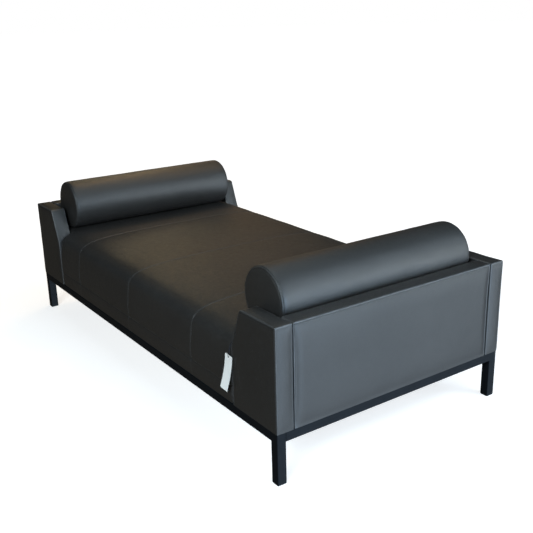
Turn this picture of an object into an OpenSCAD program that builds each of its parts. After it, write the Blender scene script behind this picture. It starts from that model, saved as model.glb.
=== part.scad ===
// Daybed: a square-tube steel base, a padded seat box, two upright end units
// (an end panel between two arms) and a loose round bolster at each end.
// +X runs from the head end to the foot end, +Y to the sleeper's left, +Z up.
// The origin is on the floor under the centre of the bed.

/* [Overall size] */
// Length over the two end panels
bed_l = 2050; // [1950:10:2200]
// Width over the two arms
bed_w = 1036; // [1004:4:1200]
// Top of the arms and end panels above the floor
arm_h = 547; // [530:1:600]

/* [Steel base] */
// Side of the square tube
tube = 35; // [30:1:38]
// Wall thickness of the tube
tube_wall = 2; // [1.5:0.5:3]
// Floor to the underside of the rails
leg_clear = 150; // [120:5:160]
// How far the base stands inside the upholstery
base_inset = 3; // [0:1:6]
// Distance of the outer cross bearers from the middle
bearer_x = 640; // [560:10:700]

/* [End units] */
// Thickness of the arms and end panels
wall_t = 70; // [66:1:80]
// Length of an arm along its top
arm_top_l = 195; // [180:5:210]
// Length of an arm where its front becomes upright
arm_foot_l = 256; // [250:1:290]
// Height at which the arm's sloping front ends
arm_knee_h = 425; // [410:5:440]
// Thickness of the plywood cores
core_t = 36; // [30:1:40]
// Radius of the end panels' top edges
panel_edge_r = 9; // [4:1:12]

/* [Seat] */
// Crown of the seat above the floor
seat_h = 458; // [452:1:480]
// Flat of the seat under the bolsters
seat_end_h = 445.5; // [440:0.5:448]
// Height at which the seat's sides begin to round
seat_shoulder_h = 300; // [280:5:330]
// Squareness of the seat's rounded edge
seat_power = 5; // [3:0.5:7]
// How far the seat's sides stand inside the arms
seat_inset = 4; // [2:0.5:8]
// Height of the timber seat box
box_h = 65; // [60:1:75]
// Thickness of the timber rails
rail_t = 28; // [22:1:32]

/* [Bolsters] */
// Radius of a bolster
bolster_r = 114; // [100:1:120]
// Length of a bolster
bolster_l = 852; // [760:4:860]
// Gap between a bolster and its end panel
bolster_gap = 8; // [4:1:20]

/* [Swing tag] */
// Width of the card
tag_w = 42; // [30:1:50]
// Length of the card
tag_l = 124; // [100:2:150]
// Lean of the card from upright, in degrees
tag_lean = 5; // [0:1:8]

/* [Hidden] */
$fn = 48;
skin = 2;
clear = 1;
half_l = bed_l / 2;
half_w = bed_w / 2;
base_top = leg_clear + tube;
cut_base = base_top - 1;
tube_r = 3;
glide_t = 3;
plug_l = 18;
rail_y = half_w - base_inset - tube / 2;
rail_x = half_l - base_inset - tube / 2;
seat_half_w = half_w - seat_inset;
seat_half_l = half_l - wall_t - clear;
neck_half_w = half_w - wall_t - clear;
neck_x = half_l - arm_foot_l - clear;
box_top = base_top + box_h;
cloth_t = 0.8;
timber_base = base_top + clear;
timber_top = box_top - 3;
inner_rail_y = neck_half_w - skin - rail_t / 2;
end_rail_x = seat_half_l - skin - rail_t / 2;
side_pad = 8;
end_pad = 14;
side_rail_y = seat_half_w - skin - side_pad - rail_t / 2;
cross_rail_x = 480;
strap_w = 70;
strap_t = 1.4;
strap_lap = 6;
cross_strap_step = 110;
cross_strap_n = 17;
long_strap_step = 140;
long_strap_n = 5;
block_side = 50;
bolster_x = half_l - wall_t - bolster_gap - bolster_r;
bolster_z = seat_end_h + 0.5 + bolster_r;
ramp_in = bolster_x - 270;
ramp_out = bolster_x - 110;
bolt_r = 4;
bolt_hole_r = 4.25;
bolt_head_r = 7.5;
bolt_head_t = 5.3;
nut_r = 6;
nut_bore_r = 4.1;
nut_l = 15;
bolt_bite = 20;
unit_bolt_z = base_top + 30;
unit_bolt_xs = [neck_x + 30, neck_x + 75];
unit_bolt_ys = [-300, 0, 300];
bearer_xs = [-bearer_x, 0, bearer_x];
tag_t = 0.6;
tag_curl_r = 420;
tag_hole_r = 3;
tag_hole_drop = 7;
tag_top = [764, -521.5, 368];
string_r = 0.6;
string_sides = 8;
// Route of the string loop: out of the arm's front edge, through the card and back
string_route = [
    [776, -513.5, 419], [773, -514.8, 414.4], [770, -516.2, 409], [768.2, -517.6, 403.5],
    [767, -519, 397], [766.2, -520.4, 390.5], [765.5, -521.8, 384], [764.8, -523.2, 377.5],
    [764.2, -524.4, 371], [763.6, -525, 364.5], [763.2, -524.3, 360.4], [763.2, -521.9, 359],
    [763.4, -519.5, 360.4], [763.8, -518.8, 364.5], [764.4, -518.5, 371.5], [765.1, -518, 378.5],
    [765.8, -517.4, 385.5], [766.6, -516.7, 392], [767.4, -515.8, 398], [768.4, -514.7, 403.5],
    [770, -513.4, 409], [773, -512, 414.4], [776, -510.8, 419]
];

ENDS = ["head", "foot"];
SIDES = ["right", "left"];
SPANS = ["head", "middle", "foot"];
function pairs(stem) = [for (e = ENDS, s = SIDES) str(stem, "_", e, "_", s)];
function each_end(stem) = [for (e = ENDS) str(stem, "_", e)];
function each_side(stem) = [for (s = SIDES) str(stem, "_", s)];
function each_span(stem) = [for (p = SPANS) str(stem, "_", p)];

BASE_PAINT = "#1b1d24";
LEATHER = "#2c2927";
PINE = "#d8b98a";
PLY = "#c9a777";
FOAM = "#e6dfc2";
CLOTH = "#202020";
ZINC = "#b8bcc0";
NYLON = "#151515";
CARD = "#f2f2ef";
STRING = "#262c3c";

// ---- placing and plain shapes ----

// A block from its lowest to its highest corner
module block(low, high) {
    translate(low) cube(high - low);
}

// The head end is the foot end mirrored
module at_end(e) {
    mirror([e == "head" ? 1 : 0, 0, 0]) children();
}

// The right side is the left side mirrored
module at_side(s) {
    mirror([0, s == "right" ? 1 : 0, 0]) children();
}

module rounded_square(side, r) {
    in = side / 2 - r;
    square([side, 2 * in], center = true);
    square([2 * in, side], center = true);
    for (x = [-in, in], y = [-in, in]) translate([x, y]) circle(r);
}

// Square tube standing on z = 0
module square_tube(l) {
    linear_extrude(l) difference() {
        rounded_square(tube, tube_r);
        square(tube - 2 * tube_wall, center = true);
    }
}

// Square tube along X, centred on the origin
module tube_along_x(l) {
    rotate([0, 90, 0]) translate([0, 0, -l / 2]) square_tube(l);
}

// Square tube along Y, centred on the origin
module tube_along_y(l) {
    rotate([90, 0, 0]) translate([0, 0, -l / 2]) square_tube(l);
}

// Children drawn in the X-Z plane and made t thick along Y, centred
module slab_along_y(t) {
    rotate([90, 0, 0]) linear_extrude(t, center = true) children();
}

// ---- steel base ----

module leg() {
    color(BASE_PAINT) translate([rail_x, rail_y, glide_t]) square_tube(base_top - glide_t);
}

module leg_glides() {
    color(NYLON) for (e = ENDS, s = SIDES) at_end(e) at_side(s) translate([rail_x, rail_y, 0]) {
        linear_extrude(glide_t) rounded_square(tube - 1, tube_r);
        linear_extrude(glide_t + plug_l) square(tube - 2 * tube_wall - 0.4, center = true);
    }
}

module long_rail() {
    color(BASE_PAINT) translate([0, rail_y, leg_clear + tube / 2]) tube_along_x(2 * rail_x - tube);
}

module end_rail() {
    color(BASE_PAINT) translate([rail_x, 0, leg_clear + tube / 2]) tube_along_y(2 * rail_y - tube);
}

module cross_bearer(x) {
    color(BASE_PAINT) translate([x, 0, leg_clear + tube / 2]) difference() {
        tube_along_y(2 * rail_y - tube);
        for (y = [-inner_rail_y, inner_rail_y])
            translate([0, y, 0]) cylinder(r = bolt_hole_r, h = tube + 2, center = true);
    }
}

// ---- timber seat box ----

module seat_side_rail() {
    l = neck_x - skin - end_pad;
    color(PINE) block([-l, side_rail_y - rail_t / 2, base_top], [l, side_rail_y + rail_t / 2, box_top]);
}

module seat_inner_rail() {
    l = end_rail_x - rail_t / 2;
    color(PINE) difference() {
        block([-l, inner_rail_y - rail_t / 2, timber_base], [l, inner_rail_y + rail_t / 2, timber_top]);
        for (x = bearer_xs)
            translate([x, inner_rail_y, timber_base - 1]) cylinder(r = nut_r, h = nut_l + 1);
        for (x = bearer_xs)
            translate([x, inner_rail_y, timber_base]) cylinder(r = bolt_hole_r, h = bolt_bite + 8);
        for (x = unit_bolt_xs, e = [-1, 1])
            translate([e * x, inner_rail_y, unit_bolt_z]) rotate([90, 0, 0])
                cylinder(r = bolt_hole_r, h = rail_t + 2, center = true);
    }
}

module seat_end_rail() {
    half = neck_half_w - skin;
    color(PINE) difference() {
        block([end_rail_x - rail_t / 2, -half, timber_base], [end_rail_x + rail_t / 2, half, timber_top]);
        for (y = unit_bolt_ys)
            translate([end_rail_x, y, unit_bolt_z]) rotate([0, 90, 0])
                cylinder(r = bolt_hole_r, h = rail_t + 2, center = true);
    }
}

module seat_cross_rail(x) {
    half = inner_rail_y - rail_t / 2;
    color(PINE) block([x - rail_t / 2, -half, timber_base], [x + rail_t / 2, half, timber_top]);
}

module seat_corner_blocks() {
    x = end_rail_x - rail_t / 2;
    y = inner_rail_y - rail_t / 2;
    color(PINE) for (e = ENDS, s = SIDES) at_end(e) at_side(s) translate([0, 0, timber_base])
        linear_extrude(timber_top - timber_base)
            polygon([[x, y], [x - block_side, y], [x, y - block_side]]);
}

module webbing_cross() {
    half = inner_rail_y + strap_lap;
    color(CLOTH) for (i = [0:cross_strap_n - 1])
        translate([(i - (cross_strap_n - 1) / 2) * cross_strap_step, 0, timber_top])
            block([-strap_w / 2, -half, 0], [strap_w / 2, half, strap_t]);
}

module webbing_long() {
    half = end_rail_x + strap_lap;
    color(CLOTH) for (i = [0:long_strap_n - 1])
        translate([0, (i - (long_strap_n - 1) / 2) * long_strap_step, timber_top + strap_t])
            block([-half, -strap_w / 2, 0], [half, strap_w / 2, strap_t]);
}

module dust_cover() {
    x = end_rail_x + strap_lap;
    y = inner_rail_y + strap_lap;
    color(CLOTH) difference() {
        block([-x, -y, base_top + 0.1], [x, y, base_top + 0.1 + cloth_t]);
        for (bx = bearer_xs, by = [-inner_rail_y, inner_rail_y])
            translate([bx, by, base_top - 1]) cylinder(r = bolt_hole_r, h = cloth_t + 3);
    }
}

// ---- seat cushion ----

// Half width 1 and height 1, bulging towards a square as seat_power grows
function squarish(a) = pow(pow(abs(cos(a)), seat_power) + pow(sin(a), seat_power), -1 / seat_power);

// The seat's section across the bed, drawn in by inset
module seat_section(inset, base) {
    half = seat_half_w - inset;
    rise = seat_h - seat_shoulder_h - inset;
    edge = [for (a = [0:3:180])
        [half * squarish(a) * cos(a), seat_shoulder_h + rise * squarish(a) * sin(a)]];
    polygon(concat([[-half, base], [half, base]], edge));
}

// Seat height along the bed: full in the middle, eased down to the flats under the bolsters
function ease(t) = t * t * (3 - 2 * t);
function seat_top(x) = seat_end_h
    + (seat_h - seat_end_h) * ease(max(0, min(1, (ramp_out - x) / (ramp_out - ramp_in))));

module seat_side_view(inset, base) {
    end = seat_half_l - inset;
    ramp = [for (i = [0:10]) let (x = ramp_out + (ramp_in - ramp_out) * i / 10) [x, seat_top(x) - inset]];
    mirrored = [for (i = [10:-1:0]) [-ramp[i][0], ramp[i][1]]];
    polygon(concat([[-end, base], [end, base], [end, seat_end_h - inset]],
        ramp, mirrored, [[-end, seat_end_h - inset]]));
}

// The seat with its four corners cut out for the arms
module seat_body(inset, base = base_top) {
    difference() {
        intersection() {
            rotate([90, 0, 90]) linear_extrude(bed_l, center = true) seat_section(inset, base);
            slab_along_y(bed_w) seat_side_view(inset, base);
        }
        for (e = ENDS, s = SIDES) at_end(e) at_side(s)
            block([neck_x - inset, neck_half_w - inset, base - 1], [half_l, half_w, arm_h]);
    }
}

module seat_foam() {
    color(FOAM) intersection() {
        seat_body(skin);
        block([-half_l, -half_w, box_top], [half_l, half_w, arm_h]);
    }
}

module seat_cover() {
    color(LEATHER) difference() {
        seat_body(0);
        seat_body(skin, cut_base);
        for (x = unit_bolt_xs, e = ENDS, s = SIDES) at_end(e) at_side(s)
            translate([x, neck_half_w, unit_bolt_z]) rotate([90, 0, 0])
                cylinder(r = bolt_hole_r, h = 4 * skin, center = true);
        for (y = unit_bolt_ys, e = ENDS) at_end(e)
            translate([seat_half_l, y, unit_bolt_z]) rotate([0, 90, 0])
                cylinder(r = bolt_hole_r, h = 4 * skin, center = true);
    }
}

// ---- end panels ----

pad_t = (wall_t - core_t) / 2 - skin;
panel_x = half_l - wall_t / 2;
panel_half_w = neck_half_w + clear / 2;

// Upright outline of a panel seen from the side, thick along X
module panel_outline(inset, base = base_top) {
    half = wall_t / 2 - inset;
    r = max(1, panel_edge_r - inset);
    top = arm_h - inset;
    translate([panel_x, 0]) {
        translate([-half, base]) square([2 * half, top - r - base]);
        translate([-half + r, base]) square([2 * (half - r), top - base]);
        for (x = [-half + r, half - r]) translate([x, top - r]) circle(r);
    }
}

// Holes for the bolts that come out of the seat box along X
module panel_bolt_holes(r, from, l) {
    for (y = unit_bolt_ys) translate([from, y, unit_bolt_z]) rotate([0, 90, 0]) cylinder(r = r, h = l);
}

module panel_core() {
    half = panel_half_w - skin;
    face = panel_x - core_t / 2;
    color(PLY) difference() {
        block([face, -half, base_top], [panel_x + core_t / 2, half, arm_h - skin - pad_t]);
        panel_bolt_holes(nut_r, face - 1, nut_l + 1);
        panel_bolt_holes(bolt_hole_r, face, bolt_bite + 5);
    }
}

module panel_foam() {
    half = panel_half_w - skin;
    color(FOAM) difference() {
        slab_along_y(2 * half) panel_outline(skin);
        block([panel_x - core_t / 2, -half_w, 0], [panel_x + core_t / 2, half_w, arm_h - skin - pad_t]);
        panel_bolt_holes(bolt_hole_r, panel_x - wall_t / 2, wall_t / 2);
    }
}

module panel_cover() {
    color(LEATHER) difference() {
        slab_along_y(2 * panel_half_w) panel_outline(0);
        slab_along_y(2 * (panel_half_w - skin)) panel_outline(skin, cut_base);
        panel_bolt_holes(bolt_hole_r, panel_x - wall_t / 2 - 1, skin + 2);
    }
}

// ---- arms ----

arm_y = half_w - wall_t / 2;

// The arm seen from the side: upright foot, sloping front, level top
module arm_outline(inset, base = base_top) {
    back = half_l - inset;
    top = arm_h - inset;
    foot = half_l - arm_foot_l + inset;
    front = half_l - arm_top_l + inset;
    knee = foot + 0.2 * (front - foot);
    polygon([[foot, base], [back, base], [back, top], [front, top],
        [knee, arm_knee_h], [foot + 2, arm_knee_h - 16], [foot, arm_knee_h - 32]]);
}

// Holes for the bolts that come out of the seat box along Y
module arm_bolt_holes(r, from, l) {
    for (x = unit_bolt_xs) translate([x, from + l, unit_bolt_z]) rotate([90, 0, 0]) cylinder(r = r, h = l);
}

module arm_core() {
    face = arm_y - core_t / 2;
    color(PLY) difference() {
        translate([0, arm_y, 0]) slab_along_y(core_t) arm_outline(skin + pad_t);
        arm_bolt_holes(nut_r, face - 1, nut_l + 1);
        arm_bolt_holes(bolt_hole_r, face, bolt_bite + 5);
    }
}

module arm_foam() {
    color(FOAM) difference() {
        translate([0, arm_y, 0]) slab_along_y(wall_t - 2 * skin) arm_outline(skin);
        translate([0, arm_y, 0]) slab_along_y(core_t) arm_outline(skin + pad_t, cut_base);
        arm_bolt_holes(bolt_hole_r, arm_y - wall_t / 2, wall_t / 2);
    }
}

module arm_cover() {
    color(LEATHER) difference() {
        translate([0, arm_y, 0]) slab_along_y(wall_t) arm_outline(0);
        translate([0, arm_y, 0]) slab_along_y(wall_t - 2 * skin) arm_outline(skin, cut_base);
        arm_bolt_holes(bolt_hole_r, arm_y - wall_t / 2 - 1, skin + 2);
    }
}

// ---- bolsters ----

// A cylinder along Y on the bolster's axis, from y0 to y1
module on_bolster_axis(r, y0, y1) {
    translate([bolster_x, y1, bolster_z]) rotate([90, 0, 0]) cylinder(r = r, h = y1 - y0, $fn = 96);
}

bolster_in = bolster_l / 2 - skin;

module bolster_foam() {
    color(FOAM) on_bolster_axis(bolster_r - skin, -bolster_in, bolster_in);
}

module bolster_sleeve() {
    color(LEATHER) difference() {
        on_bolster_axis(bolster_r, -bolster_in, bolster_in);
        on_bolster_axis(bolster_r - skin, -bolster_in - 1, bolster_in + 1);
    }
}

module bolster_cap() {
    color(LEATHER) on_bolster_axis(bolster_r, bolster_in, bolster_in + skin);
}

// ---- fasteners ----

// A hexagon-head bolt, its head under z = 0 and its shank up to z = l
module bolt(l) {
    translate([0, 0, -bolt_head_t]) cylinder(r = bolt_head_r, h = bolt_head_t, $fn = 6);
    cylinder(r = bolt_r, h = l);
}

module frame_bolts() {
    color(ZINC) for (x = bearer_xs, y = [-inner_rail_y, inner_rail_y])
        translate([x, y, leg_clear]) bolt(tube + bolt_bite + clear);
}

// From the inside of the seat box into the arm and panel cores
module unit_bolts() {
    arm_l = arm_y - core_t / 2 + bolt_bite - (inner_rail_y - rail_t / 2);
    panel_l = panel_x - core_t / 2 + bolt_bite - (end_rail_x - rail_t / 2);
    color(ZINC) for (e = ENDS) at_end(e) {
        for (s = SIDES, x = unit_bolt_xs) at_side(s)
            translate([x, inner_rail_y - rail_t / 2, unit_bolt_z]) rotate([-90, 0, 0]) bolt(arm_l);
        for (y = unit_bolt_ys)
            translate([end_rail_x - rail_t / 2, y, unit_bolt_z]) rotate([0, 90, 0]) bolt(panel_l);
    }
}

// A threaded insert, a sleeve round the end of its bolt
module insert_nut() {
    difference() {
        cylinder(r = nut_r, h = nut_l);
        translate([0, 0, -1]) cylinder(r = nut_bore_r, h = nut_l + 2);
    }
}

module insert_nuts() {
    color(ZINC) {
        for (x = bearer_xs, y = [-inner_rail_y, inner_rail_y])
            translate([x, y, timber_base]) insert_nut();
        for (e = ENDS) at_end(e) {
            for (s = SIDES, x = unit_bolt_xs) at_side(s)
                translate([x, arm_y - core_t / 2, unit_bolt_z]) rotate([-90, 0, 0]) insert_nut();
            for (y = unit_bolt_ys)
                translate([panel_x - core_t / 2, y, unit_bolt_z]) rotate([0, 90, 0]) insert_nut();
        }
    }
}

// ---- swing tag ----

// A card that curls away from the seat towards its foot, with a hole near its top
module swing_tag_card() {
    color(CARD) translate(tag_top) rotate([0, tag_lean, 0]) difference() {
        rotate([90, 0, 90]) linear_extrude(tag_w, center = true) intersection() {
            translate([-tag_curl_r, 0]) difference() {
                circle(tag_curl_r, $fn = 360);
                circle(tag_curl_r - tag_t, $fn = 360);
            }
            translate([-tag_curl_r / 2, -tag_l]) square([tag_curl_r, tag_l]);
        }
        translate([0, 0, -tag_hole_drop]) rotate([90, 0, 0]) cylinder(r = tag_hole_r, h = 10, center = true);
    }
}

// A smooth curve through the route's points, two rings to each step
function spline(a, b, c, d, t) = 0.5 * (2 * b + (c - a) * t + (2 * a - 5 * b + 4 * c - d) * t * t
    + (3 * b - a - 3 * c + d) * t * t * t);
function route_point(i) = string_route[max(0, min(len(string_route) - 1, i))];
string_path = concat(
    [for (i = [0:len(string_route) - 2], t = [0, 1 / 2])
        spline(route_point(i - 1), route_point(i), route_point(i + 1), route_point(i + 2), t)],
    [route_point(len(string_route) - 1)]);
function unit(v) = v / norm(v);
function heading(i) = unit(string_path[min(len(string_path) - 1, i + 1)] - string_path[max(0, i - 1)]);
// The loop lies near the Y-Z plane, so X is always across it
function ring(i) = let (h = heading(i), u = unit(cross(h, [1, 0, 0])), v = cross(u, h))
    [for (k = [0:string_sides - 1])
        string_path[i] + string_r * (u * cos(360 * k / string_sides) + v * sin(360 * k / string_sides))];

module swing_tag_string() {
    rings = len(string_path);
    n = string_sides;
    points = [for (i = [0:rings - 1]) each ring(i)];
    walls = [for (i = [0:rings - 2], k = [0:n - 1])
        [i * n + k, i * n + (k + 1) % n, (i + 1) * n + (k + 1) % n, (i + 1) * n + k]];
    start = [for (k = [n - 1:-1:0]) k];
    finish = [for (k = [0:n - 1]) (rings - 1) * n + k];
    color(STRING) polyhedron(points, concat([start], walls, [finish]));
}

// ---- nodes ----

for (e = ENDS, s = SIDES) {
    at_end(e) at_side(s) leg();
    at_end(e) at_side(s) arm_core();
    at_end(e) at_side(s) arm_foam();
    at_end(e) at_side(s) arm_cover();
    at_end(e) at_side(s) bolster_cap();
}
for (s = SIDES) {
    at_side(s) long_rail();
    at_side(s) seat_side_rail();
    at_side(s) seat_inner_rail();
}
for (e = ENDS) {
    at_end(e) end_rail();
    at_end(e) seat_end_rail();
    at_end(e) panel_core();
    at_end(e) panel_foam();
    at_end(e) panel_cover();
    at_end(e) bolster_foam();
    at_end(e) bolster_sleeve();
}
for (i = [0:2]) {
    cross_bearer(bearer_xs[i]);
    seat_cross_rail((i - 1) * cross_rail_x);
}
leg_glides();
seat_corner_blocks();
webbing_cross();
webbing_long();
dust_cover();
seat_foam();
seat_cover();
frame_bolts();
unit_bolts();
insert_nuts();
swing_tag_card();
swing_tag_string();
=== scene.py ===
"""Looks of the daybed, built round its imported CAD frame: camera and light, the swing tag's string,
leather upholstery with its seams and stitching, the dust cover, and the finish of every CAD part."""

import math

import bmesh
import bpy
import numpy as np
from mathutils import Matrix, Vector, kdtree, noise


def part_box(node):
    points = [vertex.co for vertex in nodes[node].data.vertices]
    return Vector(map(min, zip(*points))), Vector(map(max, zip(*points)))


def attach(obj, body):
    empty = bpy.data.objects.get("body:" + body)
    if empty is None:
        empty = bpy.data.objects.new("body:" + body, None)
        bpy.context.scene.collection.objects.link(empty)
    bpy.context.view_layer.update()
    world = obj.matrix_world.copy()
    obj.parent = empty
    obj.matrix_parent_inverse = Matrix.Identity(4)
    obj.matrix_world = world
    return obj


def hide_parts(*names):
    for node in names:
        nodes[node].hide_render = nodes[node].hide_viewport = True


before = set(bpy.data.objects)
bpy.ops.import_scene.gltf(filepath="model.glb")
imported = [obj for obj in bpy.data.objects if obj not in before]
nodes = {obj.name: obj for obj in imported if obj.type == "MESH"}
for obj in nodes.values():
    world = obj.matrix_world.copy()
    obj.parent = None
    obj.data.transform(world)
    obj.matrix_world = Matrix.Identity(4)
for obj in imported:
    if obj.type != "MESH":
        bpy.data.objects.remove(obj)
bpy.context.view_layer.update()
MM = 0.001
ENDS, SIDES = ("head", "foot"), ("right", "left")


def mm_box(name):
    """A CAD node's lowest and highest corners, in millimetres."""
    return [[round(x / MM, 2) for x in corner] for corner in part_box(name)]


arm_low, arm_high = mm_box("arm_cover_foot_left")
panel_low, panel_high = mm_box("panel_cover_foot")
seat_low, seat_high = mm_box("seat_cover")
cap_low, cap_high = mm_box("bolster_cap_foot_left")


# ---- camera, floor and light ----

def look(place, yaw, pitch, roll, lens):
    data = bpy.data.cameras.new("camera")
    data.lens, data.sensor_width = lens, 36
    data.clip_end = 200
    cam = bpy.data.objects.new("camera", data)
    turn = Matrix.Rotation(math.radians(yaw), 4, "Z") @ Matrix.Rotation(math.radians(90 - pitch), 4, "X")
    cam.matrix_world = Matrix.Translation(place) @ turn @ Matrix.Rotation(math.radians(roll), 4, "Z")
    bpy.context.collection.objects.link(cam)
    bpy.context.scene.camera = cam


def area_light(name, place, target, size, power, colour, spread=180):
    data = bpy.data.lights.new(name, "AREA")
    data.shape, data.size, data.size_y = "RECTANGLE", size[0], size[1]
    data.energy, data.color, data.spread = power, colour, math.radians(spread)
    lamp = bpy.data.objects.new(name, data)
    aim = (Vector(target) - Vector(place)).to_track_quat("-Z", "Y")
    lamp.matrix_world = Matrix.Translation(place) @ aim.to_matrix().to_4x4()
    lamp.visible_camera = False
    bpy.context.collection.objects.link(lamp)


look((2.7752, -1.7432, 1.4497), 55.504, 18.341, -1.495, 52.76)
bpy.context.scene.view_settings.view_transform = "Standard"

area_light("key_right", (4.3, 2.7, 1.2), (0.9, 0.0, 0.45), (2.8, 2.0), 127, (0.89, 0.98, 1.0))
area_light("key_high", (3.2, 2.0, 3.0), (0.8, 0.0, 0.5), (2.0, 1.2), 60, (0.72, 0.87, 1.0))
area_light("front_low", (5.2, 0.1, 0.8), (0.9, 0.0, 0.40), (2.4, 1.4), 180, (0.40, 0.68, 1.0))
area_light("warm_lamp", (-1.45, 0.45, 1.95), (-1.6, 0.3, 0.6), (0.7, 0.5), 4.8, (1.0, 0.68, 0.36), 120)
area_light("warm_right", (-0.75, 0.95, 2.0), (-1.1, 0.3, 0.6), (0.9, 0.5), 3.2, (1.0, 0.66, 0.30))
area_light("warm_left", (-2.0, 0.40, 1.45), (-0.7, -0.4, 0.45), (0.9, 0.4), 2.3, (1.0, 0.80, 0.46))
area_light("warm_back", (-2.35, 1.65, 1.25), (-0.1, 0.15, 0.45), (1.2, 0.5), 1.6, (1.0, 0.68, 0.40))
area_light("overhead", (0.2, 0.2, 3.4), (0.2, 0.0, 0.4), (2.6, 2.2), 28, (0.84, 0.96, 1.0))
area_light("beside_camera", (2.6, -3.4, 2.4), (0.2, 0.0, 0.4), (1.6, 1.2), 145, (0.82, 0.95, 1.0))


# ---- material helpers ----

class Nodes:
    """A small builder of one material's node tree."""

    def __init__(self, name):
        self.material = bpy.data.materials.new(name)
        self.material.use_nodes = True
        self.tree = self.material.node_tree
        self.shader = self.tree.nodes["Principled BSDF"]

    def add(self, kind, values=(), **settings):
        n = self.tree.nodes.new(kind)
        for key, value in settings.items():
            setattr(n, key, value)
        for key, value in dict(values).items():
            n.inputs[key].default_value = value
        return n

    def link(self, a, b):
        self.tree.links.new(a, b)

    def place(self):
        return self.add("ShaderNodeTexCoord").outputs["Object"]

    def noise(self, where, scale, detail=3.0, rough=0.5):
        n = self.add("ShaderNodeTexNoise", {"Scale": scale, "Detail": detail, "Roughness": rough})
        self.link(where, n.inputs["Vector"])
        return n.outputs["Fac"]

    def cells(self, where, scale, feature="DISTANCE_TO_EDGE"):
        n = self.add("ShaderNodeTexVoronoi", {"Scale": scale}, feature=feature)
        self.link(where, n.inputs["Vector"])
        return n.outputs["Distance"]

    def stretch(self, where, factors):
        n = self.add("ShaderNodeMapping", {"Scale": factors})
        self.link(where, n.inputs["Vector"])
        return n.outputs["Vector"]

    def spread(self, value, low, high, to_low=0.0, to_high=1.0):
        ends = {"From Min": low, "From Max": high, "To Min": to_low, "To Max": to_high}
        n = self.add("ShaderNodeMapRange", ends)
        self.link(value, n.inputs["Value"])
        return n.outputs["Result"]

    def math(self, operation, a, b):
        n = self.add("ShaderNodeMath", operation=operation)
        for socket, value in zip(n.inputs, (a, b)):
            if isinstance(value, (int, float)):
                socket.default_value = value
            else:
                self.link(value, socket)
        return n.outputs["Value"]

    def blend(self, factor, a, b, mode="MIX"):
        n = self.add("ShaderNodeMix", data_type="RGBA", blend_type=mode)
        if isinstance(factor, (int, float)):
            n.inputs["Factor"].default_value = factor
        else:
            self.link(factor, n.inputs["Factor"])
        for socket, value in ((n.inputs[6], a), (n.inputs[7], b)):
            if isinstance(value, tuple):
                socket.default_value = (*value, 1)
            else:
                self.link(value, socket)
        return n.outputs[2]

    def bump(self, height, strength, distance, below=None):
        n = self.add("ShaderNodeBump", {"Strength": strength, "Distance": distance})
        self.link(height, n.inputs["Height"])
        if below is not None:
            self.link(below, n.inputs["Normal"])
        return n.outputs["Normal"]

    def finish(self, colour, roughness, normal, **plain):
        self.link(colour, self.shader.inputs["Base Color"])
        self.link(roughness, self.shader.inputs["Roughness"])
        self.link(normal, self.shader.inputs["Normal"])
        for key, value in plain.items():
            self.shader.inputs[key.replace("_", " ")].default_value = value
        return self.material


def wear_and_highlight_of(n):
    return n.add("ShaderNodeAttribute", attribute_name="wear").outputs["Fac"]


def leather(name, dark, light, rough):
    """Corrected-grain leather: cloudy colour, fine pebbles and pores, and, along edges and seams, a lighter
    bluish colour with some polish, partly handling wear and partly a painted highlight.
    """
    n = Nodes(name)
    p = n.place()
    cloud = n.spread(n.noise(p, 2.4, 4.0), 0.3, 0.7)
    mottle = n.spread(n.noise(p, 60, 4.0, 0.6), 0.3, 0.7)
    pebble = n.spread(n.cells(p, 430), 0.0, 0.28)
    fine = n.spread(n.cells(p, 1150), 0.0, 0.3)
    colour = n.blend(cloud, dark, light)
    colour = n.blend(n.spread(mottle, 0, 1, 0.0, 0.22), colour, (0.9, 0.88, 0.86), "SOFT_LIGHT")
    colour = n.blend(n.spread(pebble, 0, 1, 0.3, 0.0), colour, (0.004, 0.004, 0.004))
    # Edges and seams lightened towards a pale bluish grey: partly wear, partly a painted highlight for the
    # gloss that edges catch.
    colour = n.blend(n.math("MULTIPLY", wear_and_highlight_of(n), 0.55), colour, (0.085, 0.088, 0.092))
    matt = n.spread(mottle, 0, 1, rough - 0.05, rough + 0.05)
    matt = n.math("ADD", matt, n.spread(pebble, 0, 1, 0.1, 0.0))
    matt = n.math("SUBTRACT", matt, n.math("MULTIPLY", wear_and_highlight_of(n), 0.10))
    normal = n.bump(n.noise(p, 26, 3.0), 0.12, 0.004)
    normal = n.bump(pebble, 0.3, 0.0003, normal)
    normal = n.bump(fine, 0.22, 0.00015, normal)
    return n.finish(colour, matt, normal, Specular_IOR_Level=0.5, Sheen_Weight=0.0)


LEATHER = leather("leather", (0.0165, 0.0160, 0.0158), (0.0235, 0.0225, 0.0220), 0.44)


# ---- skins: quad grids welded into one surface, in millimetres ----

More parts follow.
